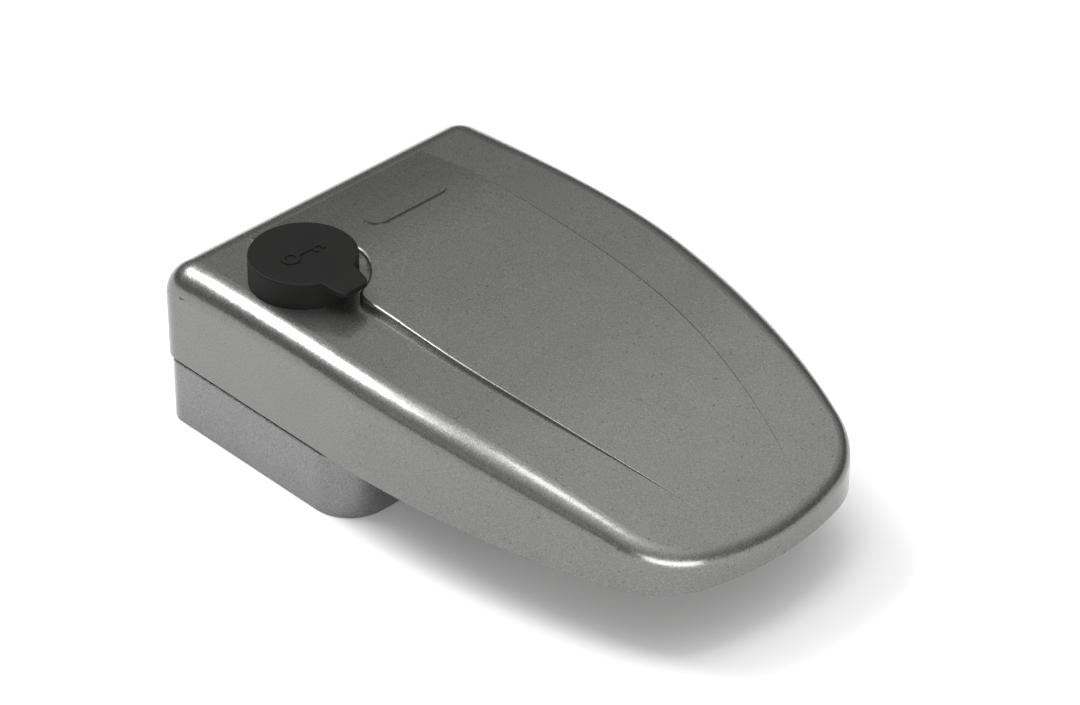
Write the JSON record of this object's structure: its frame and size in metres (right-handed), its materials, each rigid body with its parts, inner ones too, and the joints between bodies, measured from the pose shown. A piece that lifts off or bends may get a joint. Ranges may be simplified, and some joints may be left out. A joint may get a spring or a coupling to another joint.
{
  "type": "swing-arm door security lock",
  "caption": "Door lock whose cast arm swings on a wall-mounted base, with a push-in key cylinder under a flip-up round cap.",
  "frame": {"origin": "pivot axis at the mounting face, the underside of the base", "axes": "+X the way the arm points when locked, +Z away from the wall, the key cylinder on the -Y side"},
  "size_m": [0.1758, 0.11, 0.0582],
  "materials": {
    "arm_paint": "speckled silver-grey powder coat",
    "base_paint": "speckled silver-grey powder coat",
    "rubber": "matte",
    "brass": "turned",
    "white_plastic": "moulded",
    "hard_steel": "ground and hardened",
    "steel": "zinc plated",
    "black_steel": "black oxide",
    "spring_steel": "bright wire",
    "zinc_plate": "rolled sheet",
    "lock_chrome": "satin chrome",
    "black_plastic": "fine grain",
    "black_cap": "fine grained, matte"
  },
  "bodies": {
    "base": {"base_housing": "base_paint", "base_gasket": "rubber", "fixing_inserts": "brass", "pivot_bush": "brass", "thrust_washer": "white_plastic", "latch_socket_closed": "hard_steel", "latch_socket_open": "hard_steel"},
    "arm": {"arm_shell": "arm_paint", "arm_bottom_plate": "zinc_plate", "plate_screws": "steel", "pivot_shaft": "steel", "disc_spring": "spring_steel", "flat_washer": "steel", "pivot_nut": "steel", "stop_pin": "hard_steel", "lock_sleeve": "hard_steel", "sleeve_grub_screw": "black_steel", "cap_ring": "black_plastic", "cap_hinge_pin": "steel"},
    "cylinder": {"lock_cylinder": "lock_chrome", "latch_bolt": "hard_steel", "bolt_screws": "black_steel", "cylinder_o_ring": "rubber", "return_spring": "spring_steel"},
    "plug": {"lock_plug": "lock_chrome", "plug_clip": "spring_steel", "tumbler_wafers": "brass"},
    "tongue": {"locking_tongue": "hard_steel"},
    "cap": {"cap_lid": "black_cap"}
  },
  "joints": [
    {"name": "arm_swing", "type": "hinge", "parent": "base", "child": "arm", "pos_m": [0, 0, 0.02], "axis": [0, 0, 1], "range_deg": [0, 180]},
    {"name": "cylinder_push", "type": "slide", "parent": "arm", "child": "cylinder", "axis": [0, 0, 1], "range_m": [-0.006, 0], "stiffness_N_per_m": 800, "springref_m": 0.003, "deforming": ["return_spring"]},
    {"name": "key_turn", "type": "hinge", "parent": "cylinder", "child": "plug", "pos_m": [-0.0024, -0.0336, 0.05], "axis": [0, 0, 1], "range_deg": [-90, 0]},
    {"name": "tongue_slide", "type": "slide", "parent": "cylinder", "child": "tongue", "axis": [0, 1, 0], "range_m": [0, 0.0025]},
    {"name": "cap_flip", "type": "hinge", "parent": "arm", "child": "cap", "pos_m": [-0.0184, -0.0336, 0.05112], "axis": [0, -1, 0], "range_deg": [0, 105]}
  ],
  "couplings": [
    {"joint": "tongue_slide", "follows": "key_turn", "m_per_rad": -0.0015279}
  ]
}
